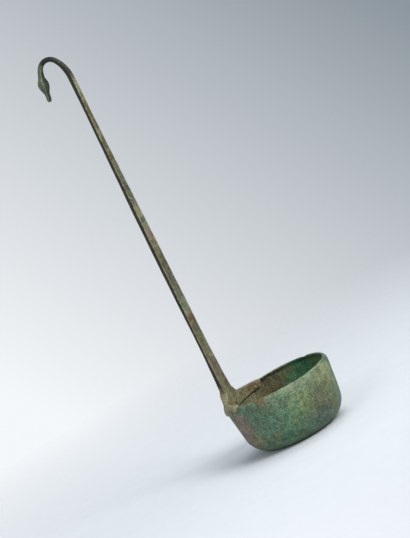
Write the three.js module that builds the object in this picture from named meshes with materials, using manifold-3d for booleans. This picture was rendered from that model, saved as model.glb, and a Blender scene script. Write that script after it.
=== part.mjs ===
// Bronze ladle: a deep bowl, an upright strap handle with two arms that clasp the rim,
// and the rivets that hold them together.
// Units are millimetres and +Z is up. The origin is the centre of the bowl's flat base.
// The handle stands at -X, and its hooked end curls away from the bowl.

import * as THREE from 'three';
import { mergeVertices } from 'three/addons/utils/BufferGeometryUtils.js';
import Module from 'manifold-3d';

// Bowl
const bowlHeight = 43.5;
const bowlRadius = 42.2;
const baseRadius = 21.8;
const cornerRadius = 17.5;
const wallThickness = 1.5;
const lipRadius = 5;
const lipTurn = THREE.MathUtils.degToRad(50);

// Handle stem, as seen from the bowl: width across, thickness front to back, heights above the rim
const stemRise = 264.5;
const stemInset = 2.9;
const stemLeanAtFoot = THREE.MathUtils.degToRad(1.2);
const stemLeanAtTop = THREE.MathUtils.degToRad(2.6);
const footWidth = 13.4;
const footBack = 3.3;
const footShoulder = 1.5;
const flareHeight = 12;
const flareWidth = 12.6;
const flareFront = 2.1;
const flareBack = 2.6;
const shankHeight = 30;
const shankWidth = 11.8;
const shankThickness = 3.2;
const lowerHeight = 96;
const lowerWidth = 10;
const lowerThickness = 3.7;
const middleHeight = 143;
const middleWidth = 8.6;
const middleThickness = 3.8;
const upperHeight = 188;
const upperWidth = 6.9;
const upperThickness = 3.5;
const topHeight = 238;
const topWidth = 5.4;
const topThickness = 3.1;

// Hook and duck's head
const neckWidth = 4;
const neckThickness = 4.1;
const shoulderBendRadius = 24;
const shoulderBendEnd = THREE.MathUtils.degToRad(40);
const crestBendRadius = 9.1;
const crestBendEnd = THREE.MathUtils.degToRad(156.5);
const napeBendRadius = 39.5;
const napeBendEnd = THREE.MathUtils.degToRad(171);
const neckStart = 4;
const neckRound = 14;
const headLength = 23.4;
const headWidth = 8.2;
const crownDepth = 4.2;
const throatDepth = 2.8;
const napeLength = 5;
const napeSwell = 0.6;
const cheekSetback = 8;
const browSetback = 4.5;
const browSlope = 0.5;
const billLength = 6.5;
const billRoot = 0.5;
const billTip = 0.8;
const billWidth = 4.2;
const billRise = 1.1;
const billFall = 1;

// Clasp that closes round the rim, with an arm to each side
const armThickness = 1.1;
const claspLining = 0.9;
const armStand = 3.6;
const armTipStand = 0.8;
const armDrop = 7;
const armTipDrop = 5;
const armFillet = 5;
const farArmReach = THREE.MathUtils.degToRad(46);
const nearArmReach = THREE.MathUtils.degToRad(66);
const armTipLength = 2.4;
const footDrop = 7.4;
const claspEdge = 0.4;
const tipShare = 0.5;

// Rivets and fits
const shankRadius = 0.8;
const headRadius = 1.5;
const headHeight = 0.75;
const rivetLift = 0.8;
const rivetEdge = THREE.MathUtils.degToRad(9);
const fitGap = 0.3;

// How square the sections are: 2 is an ellipse, and larger values are flatter with crisper edges
const strapFront = 9;
const strapBack = 5;
const shoulderSquareness = 3.5;
const roundSquareness = 2.2;
const throatSquareness = 5;

// Smoothness
const bowlSides = 60;
const rivetSides = 14;
const domeSteps = 4;
const claspSteps = 20;
const footRings = 6;
const stemRings = 18;
const hookRings = 18;
const headRings = 10;
const billRings = 7;
const lineSamples = 2000;
const ringPoints = 16;

const wasm = await Module();
wasm.setup();

const bronze = {
    bowl: new THREE.MeshStandardMaterial({ color: 0x5f7f63, roughness: 0.75, metalness: 0.35 }),
    handle: new THREE.MeshStandardMaterial({ color: 0x77704c, roughness: 0.7, metalness: 0.4 }),
    rivet: new THREE.MeshStandardMaterial({ color: 0x9a8f68, roughness: 0.6, metalness: 0.5 }),
};

// The wall is straight and touches the corner arc and the lip arc. Its lean follows from both.
const cornerCentre = new THREE.Vector2(baseRadius, cornerRadius);
const crestSetback = lipRadius - wallThickness / 2;
const lipCentre = new THREE.Vector2(
    bowlRadius - lipRadius,
    bowlHeight - wallThickness / 2 - crestSetback * Math.sin(lipTurn),
);
const centreLine = lipCentre.clone().sub(cornerCentre);
const wallNormal = centreLine.angle() - Math.acos((cornerRadius - lipRadius) / centreLine.length());
const edgeCentre = pointOnArc(lipCentre, crestSetback, lipTurn);

// The clasp's inner face clears the lip's edge. The stem stands above the wall.
const liningRadius = edgeCentre.x - wallThickness / 2 - fitGap - claspLining;
const stemRadius = bowlRadius - stemInset + shankThickness / 2;
const footBackRadius = stemRadius + footBack;

function pointOnArc(centre, radius, angle) {
    return new THREE.Vector2(centre.x + radius * Math.cos(angle), centre.y + radius * Math.sin(angle));
}

function arc(centre, radius, from, to, steps) {
    const points = [];
    for (let i = 0; i <= steps; i += 1) {
        points.push(pointOnArc(centre, radius, from + ((to - from) * i) / steps));
    }
    return points;
}

// Outer outline of the bowl, grown outwards by an offset, from the base's edge up to the lip's end.
function bowlOutline(offset) {
    return [
        ...arc(cornerCentre, cornerRadius + offset, -Math.PI / 2, wallNormal, 11),
        ...arc(lipCentre, lipRadius + offset, wallNormal, lipTurn, 7),
    ];
}

// Radius of the bowl's outside, grown by an offset, at a height near the lip.
function outerRadius(height, offset) {
    const reach = lipRadius + offset;
    const rise = height - lipCentre.y;
    if (rise > reach * Math.sin(wallNormal)) {
        const held = Math.min(rise, reach * Math.sin(lipTurn));
        return lipCentre.x + Math.sqrt(reach ** 2 - held ** 2);
    }
    const touch = pointOnArc(lipCentre, reach, wallNormal);
    return touch.x + (height - touch.y) * Math.tan(-wallNormal);
}

// Turns an outline in (radius, height) about the vertical axis.
function turned(outline) {
    const geometry = new THREE.LatheGeometry(outline, bowlSides);
    geometry.rotateX(Math.PI / 2);
    return geometry;
}

// Closed mesh through rings that all have the same number of points, with flat ends.
function loft(rings) {
    const count = rings[0].length;
    const positions = [];
    const indices = [];
    for (const ring of rings) {
        for (const point of ring) {
            positions.push(point.x, point.y, point.z);
        }
    }
    for (let r = 0; r < rings.length - 1; r += 1) {
        for (let i = 0; i < count; i += 1) {
            const a = r * count + i;
            const b = r * count + ((i + 1) % count);
            indices.push(a, b + count, b, a, a + count, b + count);
        }
    }
    const last = (rings.length - 1) * count;
    for (let i = 1; i < count - 1; i += 1) {
        indices.push(0, i, i + 1);
        indices.push(last, last + i + 1, last + i);
    }
    const geometry = new THREE.BufferGeometry();
    geometry.setAttribute('position', new THREE.Float32BufferAttribute(positions, 3));
    geometry.setIndex(indices);
    return geometry;
}

function toSolid(geometry) {
    const plain = geometry.clone();
    plain.deleteAttribute('normal');
    plain.deleteAttribute('uv');
    const merged = mergeVertices(plain, 1e-4);
    return new wasm.Manifold(new wasm.Mesh({
        numProp: 3,
        vertProperties: new Float32Array(merged.attributes.position.array),
        triVerts: new Uint32Array(merged.index.array),
    }));
}

function toMesh(solid, name, material) {
    const { vertProperties, triVerts } = solid.getMesh();
    const geometry = new THREE.BufferGeometry();
    geometry.setAttribute('position', new THREE.BufferAttribute(vertProperties, 3));
    geometry.setIndex(new THREE.BufferAttribute(triVerts, 1));
    geometry.computeVertexNormals();
    const mesh = new THREE.Mesh(geometry, material);
    mesh.name = name;
    return mesh;
}

// Each rivet goes level through the clasp and the wall, at an angle round the bowl from the foot.
const rivets = [
    { name: 'rivet_foot', around: 0 },
    { name: 'rivet_far_arm', around: rivetEdge - farArmReach },
    { name: 'rivet_near_arm', around: nearArmReach - rivetEdge },
];

// Moves a shape made along +X to its place round the bowl, just above the lip's widest height.
function placeRivet(geometry, around) {
    geometry.translate(0, 0, lipCentre.y + rivetLift);
    geometry.rotateZ(Math.PI + around);
    return geometry;
}

function rivetHole(around) {
    const length = bowlRadius;
    const hole = new THREE.CylinderGeometry(shankRadius + fitGap, shankRadius + fitGap, length, rivetSides);
    hole.rotateZ(-Math.PI / 2);
    hole.translate(length, 0, 0);
    return toSolid(placeRivet(hole, around));
}

function drilled(solid) {
    return rivets.reduce((left, rivet) => left.subtract(rivetHole(rivet.around)), solid);
}

// Two domed heads on one shank. The outline runs along the rivet's own axis.
function rivet(around) {
    const inside = liningRadius - fitGap;
    const outside = (around === 0 ? footBackRadius : bowlRadius + fitGap + armThickness) + fitGap;
    const outline = [new THREE.Vector2(0, inside - headHeight)];
    for (let i = 1; i <= domeSteps; i += 1) {
        const angle = ((Math.PI / 2) * i) / domeSteps;
        outline.push(new THREE.Vector2(headRadius * Math.sin(angle), inside - headHeight * Math.cos(angle)));
    }
    outline.push(new THREE.Vector2(shankRadius, inside));
    outline.push(new THREE.Vector2(shankRadius, outside));
    for (let i = domeSteps; i >= 1; i -= 1) {
        const angle = ((Math.PI / 2) * i) / domeSteps;
        outline.push(new THREE.Vector2(headRadius * Math.sin(angle), outside + headHeight * Math.cos(angle)));
    }
    outline.push(new THREE.Vector2(0, outside + headHeight));
    const geometry = new THREE.LatheGeometry(outline, rivetSides);
    geometry.rotateZ(-Math.PI / 2);
    return toSolid(placeRivet(geometry, around));
}

// The bowl's wall as a turned solid, grown on every side by an offset. The lip's edge is round.
function bowlWall(offset) {
    const inset = wallThickness + offset;
    const outline = [
        new THREE.Vector2(0, -offset),
        ...bowlOutline(offset),
        ...arc(edgeCentre, wallThickness / 2 + offset, lipTurn, lipTurn + Math.PI, 4).slice(1),
        ...arc(lipCentre, lipRadius - inset, lipTurn, wallNormal, 6).slice(1),
        ...arc(cornerCentre, cornerRadius - inset, wallNormal, -Math.PI / 2, 10),
        new THREE.Vector2(0, inset),
    ];
    return toSolid(turned(outline));
}

function bowl() {
    return drilled(bowlWall(0));
}

// Adds an arc to the handle's middle line, turning it from straight up towards -X.
function bend(path, radius, from, to) {
    const start = path.currentPoint.clone();
    const centre = pointOnArc(start, -radius, from);
    path.absarc(centre.x, centre.y, radius, from, to, false);
}

// Middle line of the handle in the (x, z) plane, from the foot's end to the tip of the bill.
function handleLine() {
    const footX = -stemRadius;
    const footZ = bowlHeight - footDrop;
    const length = stemRise + footDrop;
    const half = length / 2;
    const middle = new THREE.Vector2(footX + half * Math.tan(stemLeanAtFoot), footZ + half);
    const top = new THREE.Vector2(middle.x + half * Math.tan(stemLeanAtTop), middle.y + half);
    const path = new THREE.Path();
    path.moveTo(footX, footZ);
    path.quadraticCurveTo(middle.x, middle.y, top.x, top.y);
    const stemLength = path.getLength();
    bend(path, shoulderBendRadius, -stemLeanAtTop, shoulderBendEnd);
    bend(path, crestBendRadius, shoulderBendEnd, crestBendEnd);
    const napeArc = napeBendRadius * (napeBendEnd - crestBendEnd);
    bend(path, napeBendRadius, crestBendEnd, napeBendEnd);
    const straight = headLength - napeArc;
    const end = path.currentPoint.clone();
    path.lineTo(end.x - straight * Math.sin(napeBendEnd), end.y + straight * Math.cos(napeBendEnd));
    return { path, stemLength, length: path.getLength() };
}

// Sections along the handle. Front is the side that faces the bowl, and becomes the head's crown.
function handleSections(stemLength, length) {
    const head = length - headLength;
    const bill = length - billLength;
    const neck = neckThickness / 2;
    const footFront = stemRadius - liningRadius;
    const section = (at, width, front, back, frontSquareness, backSquareness) => (
        { at, width, front, back, frontSquareness, backSquareness }
    );
    const strap = (height, width, front, back = front) => (
        section(footDrop + height, width, front, back, strapFront, strapBack)
    );
    const round = (at, width, front, back, backSquareness) => (
        section(at, width, front, back, roundSquareness, backSquareness)
    );
    const flat = (at, width, front, back) => round(at, width, front, back, throatSquareness);
    return [
        strap(-footDrop, footWidth, footFront, footBack),
        strap(footShoulder, footWidth, footFront, footBack),
        strap(flareHeight, flareWidth, flareFront, flareBack),
        strap(shankHeight, shankWidth, shankThickness / 2),
        strap(lowerHeight, lowerWidth, lowerThickness / 2),
        strap(middleHeight, middleWidth, middleThickness / 2),
        strap(upperHeight, upperWidth, upperThickness / 2),
        strap(topHeight, topWidth, topThickness / 2),
        section(stemLength + neckStart, neckWidth, neck, neck, shoulderSquareness, strapBack),
        round(stemLength + neckRound, neckWidth, neck, neck, roundSquareness),
        round(head, neckWidth, neck, neck, roundSquareness),
        round(head + napeLength, neckWidth + 2 * napeSwell, neck + napeSwell, neck, shoulderSquareness),
        flat(bill - cheekSetback, headWidth, crownDepth, throatDepth),
        flat(bill - browSetback, headWidth - browSlope, crownDepth - browSlope, throatDepth),
        flat(bill, billWidth + billRoot, billRise + billRoot, billFall + billRoot),
        flat(length - billTip, billWidth, billRise, billFall),
        flat(length, billWidth - billTip, billRise / 2, billFall / 2),
    ];
}

function power(value, exponent) {
    return Math.sign(value) * Math.abs(value) ** exponent;
}

function sectionRing(path, length, section, at) {
    const [width, front, back, frontSquareness, backSquareness] = section;
    const share = Math.min(at / length, 1);
    const centre = path.getPointAt(share);
    const along = path.getTangentAt(share);
    const ring = [];
    for (let i = 0; i < ringPoints; i += 1) {
        const angle = (2 * Math.PI * i) / ringPoints;
        const squareness = Math.sin(angle) > 0 ? frontSquareness : backSquareness;
        const depth = Math.sin(angle) > 0 ? front : back;
        const across = (width / 2) * power(Math.cos(angle), 2 / squareness);
        const out = depth * power(Math.sin(angle), 2 / squareness);
        ring.push(new THREE.Vector3(centre.x + out * along.y, across, centre.y - out * along.x));
    }
    return ring;
}

// Distances at which the handle gets a ring: closer together where it bends or swells.
function ringPlaces(stemLength, length) {
    const stretches = [
        [0, footRings],
        [footDrop + flareHeight, stemRings],
        [stemLength, hookRings],
        [length - headLength, headRings],
        [length - billLength, billRings],
        [length, 0],
    ];
    const places = [];
    for (let k = 0; k < stretches.length - 1; k += 1) {
        const [from, count] = stretches[k];
        const step = (stretches[k + 1][0] - from) / count;
        for (let i = 0; i < count; i += 1) {
            places.push(from + i * step);
        }
    }
    places.push(length);
    return places;
}

function stemAndHead() {
    const { path, stemLength, length } = handleLine();
    path.arcLengthDivisions = lineSamples;
    path.updateArcLengths();
    const sections = handleSections(stemLength, length);
    const keys = ['width', 'front', 'back', 'frontSquareness', 'backSquareness'];
    const shape = new THREE.CubicInterpolant(
        sections.map((section) => section.at),
        sections.flatMap((section) => keys.map((key) => section[key])),
        keys.length,
    );
    const rings = ringPlaces(stemLength, length).map((at) => (
        sectionRing(path, length, Array.from(shape.evaluate(at)), at)
    ));
    return toSolid(loft(rings));
}

// One slice of the clasp at an angle round the bowl. Positive angles are the near arm.
function claspRing(around, reach) {
    const along = Math.abs(around) * bowlRadius;
    const share = Math.min(Math.abs(around) / reach, 1);
    const left = Math.max(reach * bowlRadius - along, 0);
    const tip = Math.min(left / armTipLength, 1);
    const round = Math.sqrt(1 - (1 - tip) ** 2);
    const fromFillet = THREE.MathUtils.clamp(footWidth / 2 + armFillet - along, 0, armFillet);
    const fillet = armFillet - Math.sqrt(armFillet ** 2 - fromFillet ** 2);
    const stand = THREE.MathUtils.lerp(armStand, armTipStand, share);
    const fullness = THREE.MathUtils.lerp(tipShare, 1, round);
    const top = bowlHeight + stand * fullness + fillet;
    const drop = THREE.MathUtils.lerp(armDrop, armTipDrop, 1 - Math.cos((Math.PI / 2) * share) ** 2);
    const bottom = bowlHeight - drop * fullness;
    const merge = THREE.MathUtils.smoothstep(footWidth / 2 + 2 * armFillet - along, 0, 2 * armFillet);
    const skin = fitGap + armThickness * fullness;
    const profile = [0, 1, 2, 3].map((i) => {
        const height = THREE.MathUtils.lerp(bottom, top - claspEdge, i / 3);
        return [THREE.MathUtils.lerp(outerRadius(height, skin), footBackRadius, merge), height];
    });
    const inner = liningRadius + claspLining * (1 - fullness);
    profile.push([profile[3][0] - claspEdge, top]);
    profile.push([inner + claspEdge, top], [inner, top - claspEdge], [inner, bottom]);
    const angle = Math.PI + around;
    return profile.map(([radius, height]) => (
        new THREE.Vector3(radius * Math.cos(angle), radius * Math.sin(angle), height)
    ));
}

function clasp() {
    const rings = [];
    for (let i = claspSteps; i > 0; i -= 1) {
        rings.push(claspRing((-farArmReach * i) / claspSteps, farArmReach));
    }
    for (let i = 0; i <= claspSteps; i += 1) {
        rings.push(claspRing((nearArmReach * i) / claspSteps, nearArmReach));
    }
    return toSolid(loft(rings));
}

function handle() {
    return drilled(stemAndHead().add(clasp()).subtract(bowlWall(fitGap)));
}

const ladle = new THREE.Group();
ladle.add(toMesh(bowl(), 'bowl', bronze.bowl));
ladle.add(toMesh(handle(), 'handle', bronze.handle));
for (const { name, around } of rivets) {
    ladle.add(toMesh(rivet(around), name, bronze.rivet));
}

export default ladle;
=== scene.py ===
"""Bronze ladle with a green and brown patina, standing on a pale floor in soft studio light.

Lengths are in metres. The origin is the centre of the bowl's flat base, +Z is up and the
handle stands at -X. Angles round the bowl are measured from +X, so the handle is at 180 degrees.
"""

import math

import bpy
import numpy as np
from mathutils import Matrix, Vector, noise

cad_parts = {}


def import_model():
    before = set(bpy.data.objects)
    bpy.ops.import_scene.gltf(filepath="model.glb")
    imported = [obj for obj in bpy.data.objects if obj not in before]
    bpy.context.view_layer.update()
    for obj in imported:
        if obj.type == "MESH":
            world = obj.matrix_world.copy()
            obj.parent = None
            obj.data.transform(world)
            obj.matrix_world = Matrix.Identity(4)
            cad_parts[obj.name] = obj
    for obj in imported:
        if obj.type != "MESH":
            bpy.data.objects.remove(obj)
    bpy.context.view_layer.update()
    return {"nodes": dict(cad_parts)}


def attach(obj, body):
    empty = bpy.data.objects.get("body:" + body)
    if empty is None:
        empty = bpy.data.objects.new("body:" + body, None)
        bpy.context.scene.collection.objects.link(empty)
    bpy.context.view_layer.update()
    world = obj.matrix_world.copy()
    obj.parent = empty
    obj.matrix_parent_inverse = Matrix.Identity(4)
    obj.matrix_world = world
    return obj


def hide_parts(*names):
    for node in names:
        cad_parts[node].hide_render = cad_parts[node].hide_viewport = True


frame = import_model()

MM = 0.001
SCREEN_GAMMA = 2.2


def srgb(red, green, blue):
    """Linear colour of an 8-bit screen colour."""
    return tuple((c / 255) ** SCREEN_GAMMA for c in (red, green, blue))


# Camera
CAMERA_PLACE = (0.7169, -1.2552, 0.2992)
CAMERA_RIGHT = (0.7909, 0.3977, -0.4651)
CAMERA_UP = (0.3569, 0.3175, 0.8785)
CAMERA_SENSOR = 36
CAMERA_LENS = 133.8
CAMERA_NEAR = 0.05
CAMERA_FAR = 30

# Lamps: name, place, the point they face, width, watts, colour
LAMPS = (
    ("key", (1.3, -0.35, 1.1), (0, 0, 0.12), 0.9, 23, (1.0, 0.98, 0.94)),
    ("fill", (-0.2, -1.6, 0.9), (0, 0, 0.12), 1.2, 7, (0.93, 0.97, 1.0)),
    ("over", (0.2, 0.5, 1.7), (0, 0, 0.1), 1.2, 12, (1, 1, 1)),
)

# Backdrop: it grows paler along a direction, between two places on it
BACKDROP_SLOPE = (-0.686, -0.467, -0.559)
BACKDROP_SPAN = (-0.16, 0.1)
BACKDROP_DARK = srgb(140, 150, 158)
BACKDROP_PALE = srgb(244, 247, 250)
AMBIENT_COLOUR = (0.93, 0.97, 1.0, 1)
AMBIENT_LEVEL = 0.34

# Floor: a disc that fades out between two distances from the bowl
FLOOR_RADIUS = 0.7
FLOOR_SIDES = 96
FLOOR_FADE = (0.12, 0.6)
FLOOR_COLOUR = srgb(216, 222, 230)
FLOOR_SPECKLE_SCALE = 60.0
FLOOR_SPECKLE_NOISE = (0.3, 0.7)
FLOOR_SPECKLE_LEVELS = (0.97, 1.0)

# Colours of the patina
TEAL = srgb(84, 114, 94)
SAGE = srgb(120, 136, 108)
LIME = srgb(132, 156, 100)
OLIVE = srgb(94, 98, 68)
OCHRE = srgb(134, 138, 98)
KHAKI = srgb(126, 122, 92)
UMBER = srgb(84, 82, 66)
PLUM = srgb(122, 106, 94)
RUST = srgb(116, 84, 60)
SLATE = srgb(68, 82, 80)
PEAT = srgb(40, 41, 31)
PITCH = srgb(12, 19, 10)
SAND = srgb(118, 114, 90)
JADE = srgb(54, 106, 74)
BARK = srgb(80, 68, 48)
SMOKE = srgb(86, 98, 78)
BARE_BRONZE = srgb(176, 166, 124)

# Shader noises: scale per metre, detail, roughness
BROAD_NOISE = (180.0, 5.0, 0.6)
FINE_NOISE = (700.0, 5.0, 0.65)
GRAIN_NOISE = (2400.0, 3.0, 0.6)
PIT_SCALE = 520.0

# Shader ranges: the two values of a noise between which something changes, and its levels there
CLOUD_NOISE = (0.34, 0.66)
CLOUD_LEVELS = (0.62, 1.38)
DARK_NOISE = (0.50, 0.36)
DARK_LEVELS = (0.0, 0.7)
SPECK_NOISE = (0.55, 0.66)
PIT_DISTANCE = (0.22, 0.08)
PIT_CLOUDS = (0.5, 0.62)
PIT_DARKNESS = 0.7
RUBBED_NOISE = (0.35, 0.6)
RUBBED_LEVELS = (0.35, 1.0)
ROUGHNESS_NOISE = (0.35, 0.65)
ROUGHNESS_LEVELS = (0.5, 0.78)
METAL_SHARE = 0.5
GLOSS_LEVEL = 0.38
GRAIN_SHARE = 0.45
RELIEF_DEPTH = 0.4 * MM
PIT_STRENGTH = 0.5
PIT_DEPTH = 0.25 * MM

# Bowl's shape, as in its solid
BOWL_HEIGHT = 43.5 * MM
BOWL_RADIUS = 42.2 * MM
BASE_RADIUS = 21.8 * MM
CORNER_RADIUS = 17.5 * MM
WALL = 1.5 * MM
LIP_RADIUS = 5 * MM
LIP_TURN = math.radians(50)

# Bowl's mesh: points along each stretch of its outline, and the plain disc in its middle
BOWL_SIDES = 320
BASE_POINTS = 22
OUTER_CORNER_POINTS = 40
INNER_CORNER_POINTS = 36
WALL_POINTS = 30
OUTER_LIP_POINTS = 16
INNER_LIP_POINTS = 14
LIP_EDGE_POINTS = 10
MIDDLE_DISC = 1 * MM

# A normal's least upward share where the bowl's inner floor is told from its underside
LEAST_UPWARD = 0.5

# Bowl's damage: its rim stands higher on the far side and has a small chip
RIM_LIFT = 1.8 * MM
RIM_LIFT_TURN = math.radians(60)
RIM_LIFT_START = 24 * MM
CHIP_TURN = math.radians(76)
CHIP_FROM_AXIS = 40 * MM
CHIP_WIDTH = 2.2 * MM
CHIP_DEPTH = 0.7 * MM
RIM_RUBBED_BAND = 1.4 * MM

# Bowl's uneven surface: a fine crust, and a broad swell that fades out at the clasp and the base
BOWL_SWELL_HEIGHT = 0.16 * MM
BOWL_SWELL_SPAN_X = (-36 * MM, -26 * MM)
BOWL_SWELL_SPAN_Z = (0, 2 * MM)
BOWL_CRUST_HEIGHT = 0.07 * MM

# Handle's mesh, uneven surface and wear: its spans are heights above the rim
HANDLE_VOXEL = 0.34 * MM
HANDLE_SMOOTHING = 9
HANDLE_SWELL_HEIGHT = 0.14 * MM
HANDLE_CRUST_HEIGHT = 0.05 * MM
HANDLE_SWELL_SPAN = (2 * MM, 12 * MM)
HANDLE_WORN_SPAN = (268 * MM, 240 * MM)
CRISP_PERCENTILES = (86, 98)
WORN_LEAST = 0.12
WORN_MORE = 0.78

# Handle's colour zones: heights above the rim, the x where the duck's head begins, a rust spot
FOOT_SPAN = (14 * MM, 2 * MM)
HOOK_SPAN = (262 * MM, 270 * MM)
HEAD_LEAST_HEIGHT = 200 * MM
HEAD_SPAN_X = (-46 * MM, -51 * MM)
RUST_SPOT = (-29 * MM, 20 * MM, 42 * MM)
RUST_SPOT_REACH = 6 * MM

# How far the bowl's rim and the rivets are rubbed down to bare metal
RUBBED_SHARE = 0.35

# Rivets
RIVETS = ("rivet_foot", "rivet_far_arm", "rivet_near_arm")
RIVET_VOXEL = 0.14 * MM
RIVET_SMOOTHING = 2
RIVET_CRUST_HEIGHT = 0.05 * MM

# Noise fields over the surfaces: wavelength, seed, octaves
BOWL_SWELL = (26 * MM, 1, 2)
BOWL_CRUST = (3.2 * MM, 2, 4)
BOWL_GROUND = (24 * MM, 3, 3)
BOWL_ROUGH = (5 * MM, 5, 5)
HANDLE_GROUND = (16 * MM, 4, 3)
HANDLE_ROUGH = (3 * MM, 6, 4)
HANDLE_CRUST = (2.6 * MM, 8, 4)
HANDLE_SWELL = (14 * MM, 9, 2)
RIVET_CRUST = (1.5 * MM, 11, 3)

# How a seed moves its noise, how fast finer octaves weaken, and how much finer each one is
SEED_STEPS = (7.1, 3.3, 5.7)
OCTAVE_DECAY = 1.0
OCTAVE_GAP = 2.0

# Patches on the bowl: angle round it in degrees, height and reach in mm, colour, strength
PATCHES_FROM_AXIS = 41 * MM
OUTSIDE_PATCHES = (
    (-60, 39, 13, SAGE, 0.8),
    (-38, 37, 12, SAGE, 0.7),
    (-5, 33, 13, OCHRE, 0.8),
    (-12, 18, 13, OLIVE, 0.7),
    (-32, 20, 14, UMBER, 0.85),
    (-50, 27, 11, LIME, 0.45),
    (-76, 26, 16, TEAL, 0.7),
    (-62, 12, 16, JADE, 0.35),
    (-108, 35, 7, TEAL, 0.8),
    (-122, 30, 10, PLUM, 0.95),
    (-126, 17, 13, PLUM, 0.9),
    (-110, 14, 5, OCHRE, 0.5),
    (-82, 42, 3.5, RUST, 0.8),
    # The two low slate patches on the near side are painted shade that darkens the wall towards
    # the base, with a painted bluish reflection along its bottom edge.
    (-48, 6, 12, SLATE, 0.5),
    (-25, 8, 9, SLATE, 0.7),
    (-140, 34, 8, OLIVE, 0.9),
    (160, 20, 22, PLUM, 0.8),
    (110, 25, 20, UMBER, 0.7),
    (60, 22, 18, TEAL, 0.6),
)
INSIDE_PATCHES = (
    (92, 33, 17, JADE, 0.8),
    (68, 33, 22, JADE, 0.9),
    (35, 36, 18, JADE, 0.6),
    (60, 42, 6, OLIVE, 0.6),
    (108, 41, 7, OLIVE, 0.8),
    (124, 35, 12, BARK, 0.9),
    (140, 28, 11, BARK, 0.9),
    (152, 37, 9, KHAKI, 0.85),
    (143, 39, 5, RUST, 0.7),
    (176, 30, 18, SAND, 0.8),
    (-90, 20, 30, SMOKE, 0.7),
)

# Patches up the stem's front: height above the rim and reach in mm, colour
STEM_PATCHES = (
    (10, 16, KHAKI),
    (30, 7, PLUM),
    (51, 9, OLIVE),
    (66, 5, RUST),
    (80, 5, SAGE),
    (106, 20, UMBER),
    (128, 2, OCHRE),
    (136, 7, PLUM),
    (149, 4, SMOKE),
    (156, 4, OCHRE),
    (168, 8, UMBER),
    (180, 8, SLATE),
    (212, 20, OLIVE),
    (243, 20, OCHRE),
)

# The shader's mix node keeps its sockets for numbers and for colours at these positions
MIX_SHARE = 0
MIX_NUMBERS = (2, 3)
MIX_NUMBER_RESULT = 0
MIX_COLOURS = (6, 7)
MIX_COLOUR_RESULT = 2


def smoothstep(value, start, full):
    """0 at start and 1 at full, with a soft change between them; start may be the larger."""
    share = np.clip((value - start) / (full - start), 0, 1)
    return share * share * (3 - 2 * share)


def fractal(points, wavelength, seed, octaves):
    """Smooth noise of about -1 to 1 at every point."""
    shift = Vector([seed * step for step in SEED_STEPS])
    return np.array([
        noise.fractal(Vector(p) / wavelength + shift, OCTAVE_DECAY, OCTAVE_GAP, octaves)
        for p in points
    ])


def ragged(values, rough, ground, fine, broad):
    """Values made uneven by shares of a fine and a broad noise."""
    return values + fine * rough + broad * ground


def plain(colour, count):
    """The same colour for every point."""
    return np.tile(colour, (count, 1))


def mix(base, other, share):
    """Colours moved towards another colour by each point's share."""
    return base + (np.array(other) - base) * share[:, None]


def cover(colours, colour, values, start, full, strength=1.0):
    """Lays a colour on: not at all where values are at start, at its strength where at full."""
    return mix(colours, colour, strength * smoothstep(values, start, full))


def read_points(mesh):
    points = np.zeros(len(mesh.vertices) * 3)
    mesh.vertices.foreach_get("co", points)
    return points.reshape(-1, 3)


def read_normals(mesh):
    normals = np.zeros(len(mesh.vertices) * 3)
    mesh.vertices.foreach_get("normal", normals)
    return normals.reshape(-1, 3)


def write_points(mesh, points):
    mesh.vertices.foreach_set("co", points.ravel())
    mesh.update()


def write_colour(mesh, colours):
    layer = mesh.color_attributes.new("patina", "FLOAT_COLOR", "POINT")
    layer.data.foreach_set("color", np.c_[colours, np.ones(len(colours))].ravel())


def write_rubbed(mesh, shares):
    """How far each vertex is rubbed down to bare metal."""
    layer = mesh.attributes.new("rubbed", "FLOAT", "POINT")
    layer.data.foreach_set("value", np.asarray(shares, dtype=np.float32))


def edge_crispness(mesh):
    """How far each vertex stands out from its neighbours, along its normal."""
    points = read_points(mesh)
    edges = np.zeros(len(mesh.edges) * 2, dtype=np.int64)
    mesh.edges.foreach_get("vertices", edges)
    one_end, other_end = edges.reshape(-1, 2).T
    total = np.zeros_like(points)
    count = np.zeros(len(points))
    for here, there in ((one_end, other_end), (other_end, one_end)):
        np.add.at(total, here, points[there])
        np.add.at(count, here, 1)
    away = points - total / count[:, None]
    return (away * read_normals(mesh)).sum(axis=1)


def shown_object(name, mesh, node, material):
    made = bpy.data.objects.new(name, mesh)
    bpy.context.scene.collection.objects.link(made)
    mesh.materials.clear()
    mesh.materials.append(material)
    mesh.shade_smooth()
    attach(made, "root")
    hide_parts(node)


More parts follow.
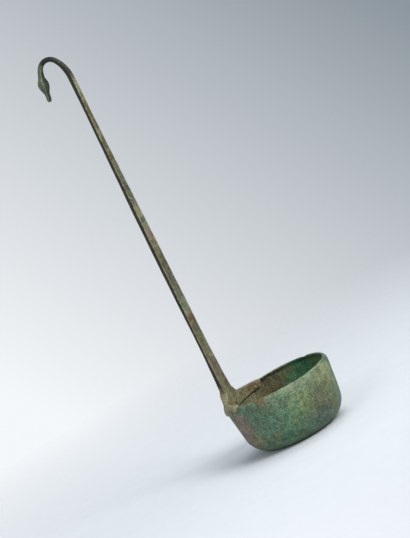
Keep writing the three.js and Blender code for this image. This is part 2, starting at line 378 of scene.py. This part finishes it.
class Nodes:
    """Short way to add shader nodes to one tree and join them."""

    def __init__(self, tree):
        self.tree = tree
        tree.nodes.clear()

    def add(self, kind, **values):
        """Adds a node, and sets its settings or inputs by name."""
        made = self.tree.nodes.new(kind)
        for name, value in values.items():
            if hasattr(made, name):
                setattr(made, name, value)
            else:
                made.inputs[name].default_value = value
        return made

    def join(self, source, target):
        self.tree.links.new(source, target)

    def feed(self, value, socket):
        """Gives a socket a number, a colour or another node's output."""
        if isinstance(value, tuple):
            socket.default_value = (*value, 1)
        elif isinstance(value, float):
            socket.default_value = value
        else:
            self.join(value, socket)

    def noise(self, coordinates, scale, detail=6.0, roughness=0.6):
        made = self.add("ShaderNodeTexNoise", Scale=scale, Detail=detail, Roughness=roughness)
        self.join(coordinates, made.inputs["Vector"])
        return made.outputs["Fac"]

    def cells(self, coordinates, scale):
        made = self.add("ShaderNodeTexVoronoi", Scale=scale)
        self.join(coordinates, made.inputs["Vector"])
        return made.outputs["Distance"]

    def range(self, value, low, high, to_low=0.0, to_high=1.0):
        """Maps a value from low and high to two levels."""
        made = self.add("ShaderNodeMapRange")
        made.inputs["From Min"].default_value = low
        made.inputs["From Max"].default_value = high
        made.inputs["To Min"].default_value = to_low
        made.inputs["To Max"].default_value = to_high
        self.join(value, made.inputs["Value"])
        return made.outputs["Result"]

    def calculate(self, operation, first, second):
        made = self.add("ShaderNodeMath", operation=operation)
        self.feed(first, made.inputs[0])
        self.feed(second, made.inputs[1])
        return made.outputs["Value"]

    def multiply(self, first, second):
        return self.calculate("MULTIPLY", first, second)

    def larger(self, first, second):
        return self.calculate("MAXIMUM", first, second)

    def blend(self, share, base, over, blend_type="MIX"):
        """Mixes two colours."""
        made = self.add("ShaderNodeMix", data_type="RGBA", blend_type=blend_type)
        self.feed(share, made.inputs[MIX_SHARE])
        for value, socket in zip((base, over), MIX_COLOURS):
            self.feed(value, made.inputs[socket])
        return made.outputs[MIX_COLOUR_RESULT]

    def blend_numbers(self, share, base, over):
        made = self.add("ShaderNodeMix")
        self.feed(share, made.inputs[MIX_SHARE])
        for value, socket in zip((base, over), MIX_NUMBERS):
            self.feed(value, made.inputs[socket])
        return made.outputs[MIX_NUMBER_RESULT]

    def bump(self, height, strength, depth, **values):
        made = self.add("ShaderNodeBump", Strength=strength, Distance=depth, **values)
        self.join(height, made.inputs["Height"])
        return made


def patina_colour(n, broad, fine, pits, rubbed, speck_colour, speck_share):
    """Painted patches under light and dark clouds, specks, pits and rubbed edges."""
    painted = n.add("ShaderNodeAttribute", attribute_name="patina").outputs["Color"]
    clouds = n.range(broad, *CLOUD_NOISE, *CLOUD_LEVELS)
    grey = n.add("ShaderNodeCombineColor")
    for name in ("Red", "Green", "Blue"):
        n.join(clouds, grey.inputs[name])
    colour = n.blend(1.0, painted, grey.outputs["Color"], "MULTIPLY")
    colour = n.blend(n.range(fine, *DARK_NOISE, *DARK_LEVELS), colour, PEAT)
    specks = n.multiply(n.range(fine, *SPECK_NOISE), speck_share)
    colour = n.blend(specks, colour, speck_colour)
    colour = n.blend(n.multiply(pits, PIT_DARKNESS), colour, PITCH)
    rubbed_share = n.multiply(rubbed, n.range(fine, *RUBBED_NOISE, *RUBBED_LEVELS))
    return n.blend(rubbed_share, colour, BARE_BRONZE)


def patina_normal(n, fine, grain, pits, relief):
    """Fine crust with small pits in it."""
    crust = n.bump(n.blend_numbers(GRAIN_SHARE, fine, grain), relief, RELIEF_DEPTH)
    pitted = n.bump(pits, PIT_STRENGTH, PIT_DEPTH, invert=True)
    n.join(crust.outputs["Normal"], pitted.inputs["Normal"])
    return pitted.outputs["Normal"]


def patina_material(name, speck_colour, speck_share, relief):
    """Matt corroded bronze that is bare and a little metallic where it is rubbed."""
    material = bpy.data.materials.new(name)
    material.use_nodes = True
    n = Nodes(material.node_tree)
    place = n.add("ShaderNodeTexCoord").outputs["Object"]
    rubbed = n.add("ShaderNodeAttribute", attribute_name="rubbed").outputs["Fac"]
    broad = n.noise(place, *BROAD_NOISE)
    fine = n.noise(place, *FINE_NOISE)
    grain = n.noise(place, *GRAIN_NOISE)
    cells = n.cells(place, PIT_SCALE)
    pits = n.multiply(n.range(cells, *PIT_DISTANCE), n.range(broad, *PIT_CLOUDS))
    colour = patina_colour(n, broad, fine, pits, rubbed, speck_colour, speck_share)
    surface = n.add("ShaderNodeBsdfPrincipled")
    surface.inputs["Specular IOR Level"].default_value = GLOSS_LEVEL
    n.join(colour, surface.inputs["Base Color"])
    n.join(n.range(fine, *ROUGHNESS_NOISE, *ROUGHNESS_LEVELS), surface.inputs["Roughness"])
    n.join(n.multiply(rubbed, METAL_SHARE), surface.inputs["Metallic"])
    n.join(patina_normal(n, fine, grain, pits, relief), surface.inputs["Normal"])
    output = n.add("ShaderNodeOutputMaterial")
    n.join(surface.outputs["BSDF"], output.inputs["Surface"])
    return material


def arc(centre, radius, start, end, count):
    angles = np.linspace(start, end, count)
    return np.c_[centre[0] + radius * np.cos(angles), centre[1] + radius * np.sin(angles)]


def inner_shares(count):
    """Even shares between 0 and 1, without the two ends, as one column."""
    return np.linspace(0, 1, count)[1:-1, None]


def wall_line(corner, corner_radius, lip, lip_radius, normal):
    """Straight stretch of the wall, between the points where it meets its two arcs."""
    out = np.array([math.cos(normal), math.sin(normal)])
    start = corner + corner_radius * out
    end = lip + lip_radius * out
    return start + inner_shares(WALL_POINTS) * (end - start)


def bowl_outline():
    """Closed outline of the wall as (radius, height) points.

    It runs up the outside, over the lip and down the inside.
    """
    corner = np.array([BASE_RADIUS, CORNER_RADIUS])
    crest = LIP_RADIUS - WALL / 2
    lip_height = BOWL_HEIGHT - WALL / 2 - crest * math.sin(LIP_TURN)
    lip = np.array([BOWL_RADIUS - LIP_RADIUS, lip_height])
    across = lip - corner
    spread = math.acos((CORNER_RADIUS - LIP_RADIUS) / np.hypot(*across))
    normal = math.atan2(across[1], across[0]) - spread
    edge = lip + crest * np.array([math.cos(LIP_TURN), math.sin(LIP_TURN)])
    outside = [
        arc(corner, CORNER_RADIUS, -math.pi / 2, normal, OUTER_CORNER_POINTS),
        wall_line(corner, CORNER_RADIUS, lip, LIP_RADIUS, normal),
        arc(lip, LIP_RADIUS, normal, LIP_TURN, OUTER_LIP_POINTS),
    ]
    inside = [
        arc(lip, LIP_RADIUS - WALL, LIP_TURN, normal, INNER_LIP_POINTS),
        wall_line(corner, CORNER_RADIUS - WALL, lip, LIP_RADIUS - WALL, normal)[::-1],
        arc(corner, CORNER_RADIUS - WALL, normal, -math.pi / 2, INNER_CORNER_POINTS),
    ]
    lip_edge = arc(edge, WALL / 2, LIP_TURN, LIP_TURN + math.pi, LIP_EDGE_POINTS)[1:-1]
    reach = inner_shares(BASE_POINTS) * np.array([[BASE_RADIUS - MIDDLE_DISC, 0.0]])
    underside = np.array([[MIDDLE_DISC, 0.0]]) + reach
    bottom = np.array([[BASE_RADIUS, WALL]]) - reach
    return np.vstack([underside, *outside, lip_edge, *inside, bottom])


def spun_mesh(name, outline, sides):
    """Turns an outline about the vertical axis and closes it at both ends."""
    angles = np.linspace(0, 2 * math.pi, sides, endpoint=False)
    rows = len(outline)
    points = np.zeros((rows, sides, 3))
    points[:, :, 0] = outline[:, :1] * np.cos(angles)
    points[:, :, 1] = outline[:, :1] * np.sin(angles)
    points[:, :, 2] = outline[:, 1:]
    faces = []
    for row in range(rows - 1):
        here = row * sides
        above = here + sides
        for side in range(sides):
            after = (side + 1) % sides
            faces.append((here + side, here + after, above + after, above + side))
    faces.append(tuple(range(sides))[::-1])
    faces.append(tuple(range((rows - 1) * sides, rows * sides)))
    mesh = bpy.data.meshes.new(name)
    mesh.from_pydata(points.reshape(-1, 3).tolist(), [], faces)
    mesh.update()
    return mesh


def on_inside(points, normals):
    """Which points of the bowl lie on its inner face, its floor among them."""
    radial = (points[:, :2] * normals[:, :2]).sum(axis=1)
    bowl_floor = (normals[:, 2] > LEAST_UPWARD) & (points[:, 2] < BOWL_HEIGHT / 2)
    return (radial < 0) | bowl_floor


def chip_share(points):
    """1 at the middle of the rim's chip, falling away from it."""
    middle = (
        CHIP_FROM_AXIS * math.cos(CHIP_TURN),
        CHIP_FROM_AXIS * math.sin(CHIP_TURN),
        BOWL_HEIGHT,
    )
    return np.exp(-(np.linalg.norm(points - middle, axis=1) / CHIP_WIDTH) ** 2)


def rim_lift(points, chipped):
    """How far each point moves up where the rim stands high, and down where it is chipped."""
    crest = smoothstep(points[:, 2], RIM_LIFT_START, BOWL_HEIGHT)
    towards = points[:, 0] * math.cos(RIM_LIFT_TURN) + points[:, 1] * math.sin(RIM_LIFT_TURN)
    return RIM_LIFT * crest * np.clip(towards / BOWL_RADIUS, 0, 1) - CHIP_DEPTH * chipped


def painted_bowl(points, inside):
    ground = fractal(points, *BOWL_GROUND)
    rough = fractal(points, *BOWL_ROUGH)
    colours = plain(TEAL, len(points))
    colours = cover(colours, SMOKE, ground, start=-0.1, full=0.5)
    colours = cover(colours, OLIVE, rough, start=0.0, full=0.6, strength=0.7)
    for patches, side in ((OUTSIDE_PATCHES, ~inside), (INSIDE_PATCHES, inside)):
        for turn, height, reach, colour, strength in patches:
            angle = math.radians(turn)
            middle = (
                PATCHES_FROM_AXIS * math.cos(angle),
                PATCHES_FROM_AXIS * math.sin(angle),
                height * MM,
            )
            away = np.linalg.norm(points - middle, axis=1) / (reach * MM)
            away = ragged(away, rough, ground, fine=0.6, broad=0.25)
            colours = cover(colours, colour, away, start=1.35, full=0.45, strength=strength * side)
    return colours


def bowl_piece():
    mesh = spun_mesh("bowl_patinated", bowl_outline(), BOWL_SIDES)
    points = read_points(mesh)
    normals = read_normals(mesh)
    inside = on_inside(points, normals)
    chipped = chip_share(points)
    lift = rim_lift(points, chipped)
    points[:, 2] += lift
    swell = fractal(points, *BOWL_SWELL)
    crust = fractal(points, *BOWL_CRUST)
    swell *= smoothstep(points[:, 0], *BOWL_SWELL_SPAN_X)
    swell *= smoothstep(points[:, 2], *BOWL_SWELL_SPAN_Z)
    points += normals * (BOWL_SWELL_HEIGHT * swell + BOWL_CRUST_HEIGHT * crust)[:, None]
    points[:, 2] = np.maximum(points[:, 2], 0)
    write_points(mesh, points)
    colours = painted_bowl(points, inside)
    write_colour(mesh, cover(colours, PITCH, chipped, start=0.25, full=0.6))
    rim = smoothstep(points[:, 2] - lift, BOWL_HEIGHT - RIM_RUBBED_BAND, BOWL_HEIGHT)
    write_rubbed(mesh, RUBBED_SHARE * rim * smoothstep(crust, start=-0.2, full=0.5))
    material = patina_material("bowl_bronze", LIME, speck_share=0.6, relief=0.8)
    shown_object("bowl_patinated", mesh, "bowl", material)


def fine_copy(node, voxel, smoothing):
    """The CAD node's mesh with small even faces."""
    made = bpy.data.objects.new("work", frame["nodes"][node].data.copy())
    bpy.context.scene.collection.objects.link(made)
    remesh = made.modifiers.new("remesh", "REMESH")
    remesh.mode = "VOXEL"
    remesh.voxel_size = voxel
    smooth = made.modifiers.new("smooth", "SMOOTH")
    smooth.iterations = smoothing
    graph = bpy.context.evaluated_depsgraph_get()
    mesh = bpy.data.meshes.new_from_object(made.evaluated_get(graph))
    bpy.data.objects.remove(made)
    return mesh


def painted_front(above, rough, ground):
    """Brown and green patches of the handle's front, by height above the rim."""
    front = plain(SAND, len(above))
    for height, reach, colour in STEM_PATCHES:
        away = np.abs(above - height * MM) / (reach * MM)
        away = ragged(away, rough, ground, fine=0.8, broad=0.3)
        front = cover(front, colour, away, start=1.5, full=0.3, strength=0.75)
    front = cover(front, BARK, ground, start=0.0, full=0.6, strength=0.6)
    return cover(front, OCHRE, -rough, start=0.15, full=0.6, strength=0.5)


def dark_patina_and_painted_shade_sides(facing_x, rough, ground):
    """Near-black sides of the handle, browner and greyer on its back: dark patina with painted
    shade, chosen by which way each face points.
    """
    dark = cover(plain(PITCH, len(facing_x)), PEAT, rough, start=-0.2, full=0.5)
    behind = smoothstep(-facing_x, start=0.2, full=0.8)
    dark = cover(dark, UMBER, ground, start=-0.5, full=0.4, strength=0.8 * behind)
    return cover(dark, SMOKE, -rough, start=-0.1, full=0.5, strength=0.7 * behind)


def painted_head(colours, head, facing_x, rough, ground):
    """Grey-green duck's head, with painted shade darkening its throat side and a painted highlight
    along a pale ridge beside it.
    """
    colours = mix(colours, SMOKE, head)
    # Painted shade: the head darkens where it faces +X.
    colours = cover(colours, PEAT, facing_x, start=0.45, full=0.85, strength=0.75 * head)
    colours = cover(colours, PEAT, ground + rough, start=0.2, full=0.8, strength=0.5 * head)
    # Painted highlight: a pale band where the head's faces turn only partly towards +X.
    ridge = 0.8 * head * smoothstep(facing_x, start=0.1, full=0.3)
    return cover(colours, SAGE, facing_x, start=0.55, full=0.35, strength=ridge)


def painted_handle(points, normals):
    ground = fractal(points, *HANDLE_GROUND)
    rough = fractal(points, *HANDLE_ROUGH)
    above = points[:, 2] - BOWL_HEIGHT
    facing_x = normals[:, 0]
    front = painted_front(above, rough, ground)
    sides = dark_patina_and_painted_shade_sides(facing_x, rough, ground)
    # Painted shade: faces that turn away from +X take the near-black colours of the sides, dark
    # patina darkened further as if in shadow; the foot keeps the front's colours.
    facing = ragged(facing_x, rough, ground, fine=0.15, broad=0)
    facing = smoothstep(facing, start=0.25, full=0.75)
    foot = smoothstep(above, *FOOT_SPAN)
    colours = sides + (front - sides) * np.maximum(facing, foot)[:, None]
    colours = cover(colours, KHAKI, ground, start=-1.0, full=0.2, strength=foot)
    head = smoothstep(points[:, 0], *HEAD_SPAN_X) * (above > HEAD_LEAST_HEIGHT)
    colours = painted_head(colours, head, facing_x, rough, ground)
    hook = smoothstep(above, *HOOK_SPAN) * (1 - head)
    colours = cover(colours, PITCH, rough, start=0.9, full=0.3, strength=0.85 * hook)
    away = np.linalg.norm(points - RUST_SPOT, axis=1) / RUST_SPOT_REACH
    away = ragged(away, rough, ground, fine=0.5, broad=0)
    return cover(colours, RUST, away, start=1.3, full=0.4, strength=0.8)


def handle_piece():
    mesh = fine_copy("handle", HANDLE_VOXEL, HANDLE_SMOOTHING)
    crisp = edge_crispness(mesh)
    points = read_points(mesh)
    normals = read_normals(mesh)
    crust = fractal(points, *HANDLE_CRUST)
    swell = fractal(points, *HANDLE_SWELL)
    free = smoothstep(points[:, 2] - BOWL_HEIGHT, *HANDLE_SWELL_SPAN)
    raised = HANDLE_CRUST_HEIGHT * crust + HANDLE_SWELL_HEIGHT * swell * free
    points += normals * raised[:, None]
    write_points(mesh, points)
    write_colour(mesh, painted_handle(points, normals))
    crisp = smoothstep(crisp, *np.percentile(crisp, CRISP_PERCENTILES))
    cornered = 2 * np.abs(normals[:, 0] * normals[:, 1])
    arris = free * smoothstep(cornered, start=0.6, full=0.95)
    rubbed = np.maximum(crisp, arris) * smoothstep(crust, start=-0.6, full=0.3)
    worn = smoothstep(points[:, 2] - BOWL_HEIGHT, *HANDLE_WORN_SPAN)
    write_rubbed(mesh, rubbed * (WORN_LEAST + WORN_MORE * worn))
    material = patina_material("handle_bronze", OCHRE, speck_share=0.22, relief=0.7)
    shown_object("handle_patinated", mesh, "handle", material)


def rivet_piece(node, material):
    mesh = fine_copy(node, RIVET_VOXEL, RIVET_SMOOTHING)
    points = read_points(mesh)
    crust = fractal(points, *RIVET_CRUST)
    write_colour(mesh, cover(plain(KHAKI, len(points)), UMBER, crust, start=-0.2, full=0.4))
    write_rubbed(mesh, RUBBED_SHARE * smoothstep(crust, start=-0.1, full=0.5))
    write_points(mesh, points + read_normals(mesh) * (RIVET_CRUST_HEIGHT * crust)[:, None])
    shown_object(node + "_patinated", mesh, node, material)


def soft_light(name, place, aim, width, watts, colour):
    data = bpy.data.lights.new(name, "AREA")
    data.shape = "SQUARE"
    data.size = width
    data.energy = watts
    data.color = colour
    lamp = bpy.data.objects.new(name, data)
    lamp.location = place
    lamp.rotation_mode = "QUATERNION"
    lamp.rotation_quaternion = (Vector(aim) - Vector(place)).to_track_quat("-Z", "Y")
    bpy.context.scene.collection.objects.link(lamp)


def camera():
    data = bpy.data.cameras.new("camera")
    data.sensor_width = CAMERA_SENSOR
    data.lens = CAMERA_LENS
    data.clip_start = CAMERA_NEAR
    data.clip_end = CAMERA_FAR
    made = bpy.data.objects.new("camera", data)
    right = Vector(CAMERA_RIGHT)
    up = Vector(CAMERA_UP)
    back = right.cross(up).normalized()
    turn = Matrix((right, up, back)).transposed().to_4x4()
    made.matrix_world = Matrix.Translation(CAMERA_PLACE) @ turn
    bpy.context.scene.collection.objects.link(made)
    bpy.context.scene.camera = made


def world():
    """Even pale light, and a grey-blue backdrop that the camera, gloss and clear things show."""
    made = bpy.data.worlds.new("studio")
    made.use_nodes = True
    bpy.context.scene.world = made
    n = Nodes(made.node_tree)
    rays = n.add("ShaderNodeLightPath").outputs
    seen = n.larger(rays["Is Camera Ray"], rays["Is Glossy Ray"])
    seen = n.larger(seen, rays["Is Transmission Ray"])
    slope = n.add("ShaderNodeVectorMath", operation="DOT_PRODUCT")
    n.join(n.add("ShaderNodeTexCoord").outputs["Generated"], slope.inputs[0])
    slope.inputs[1].default_value = BACKDROP_SLOPE
    share = n.range(slope.outputs["Value"], *BACKDROP_SPAN)
    ambient = n.add("ShaderNodeBackground", Color=AMBIENT_COLOUR, Strength=AMBIENT_LEVEL)
    shown = n.add("ShaderNodeBackground")
    n.join(n.blend(share, BACKDROP_DARK, BACKDROP_PALE), shown.inputs["Color"])
    chosen = n.add("ShaderNodeMixShader")
    n.join(seen, chosen.inputs[0])
    n.join(ambient.outputs[0], chosen.inputs[1])
    n.join(shown.outputs[0], chosen.inputs[2])
    output = n.add("ShaderNodeOutputWorld")
    n.join(chosen.outputs[0], output.inputs["Surface"])


def floor_material():
    """Pale matt floor with a faint speckle, clear away from the ladle."""
    material = bpy.data.materials.new("floor")
    material.use_nodes = True
    n = Nodes(material.node_tree)
    place = n.add("ShaderNodeTexCoord").outputs["Object"]
    distance = n.add("ShaderNodeVectorMath", operation="LENGTH")
    n.join(place, distance.inputs[0])
    uneven = n.noise(place, FLOOR_SPECKLE_SCALE)
    speckle = n.range(uneven, *FLOOR_SPECKLE_NOISE, *FLOOR_SPECKLE_LEVELS)
    tone = n.add("ShaderNodeCombineColor")
    for name, level in zip(("Red", "Green", "Blue"), FLOOR_COLOUR):
        n.join(n.multiply(speckle, level), tone.inputs[name])
    surface = n.add("ShaderNodeBsdfDiffuse")
    n.join(tone.outputs["Color"], surface.inputs["Color"])
    clear = n.add("ShaderNodeBsdfTransparent")
    fade = n.add("ShaderNodeMixShader")
    n.join(n.range(distance.outputs["Value"], *FLOOR_FADE), fade.inputs[0])
    n.join(surface.outputs[0], fade.inputs[1])
    n.join(clear.outputs[0], fade.inputs[2])
    output = n.add("ShaderNodeOutputMaterial")
    n.join(fade.outputs[0], output.inputs["Surface"])
    return material


def floor():
    bpy.ops.mesh.primitive_circle_add(
        radius=FLOOR_RADIUS, fill_type="NGON", vertices=FLOOR_SIDES
    )
    made = bpy.context.object
    made.name = "floor"
    made.data.materials.append(floor_material())


camera()
world()
floor()
for lamp in LAMPS:
    soft_light(*lamp)

bowl_piece()
handle_piece()
rivet_bronze = patina_material("rivet_bronze", OCHRE, speck_share=0.3, relief=0.4)
for rivet in RIVETS:
    rivet_piece(rivet, rivet_bronze)

bpy.context.scene.view_settings.view_transform = "Standard"
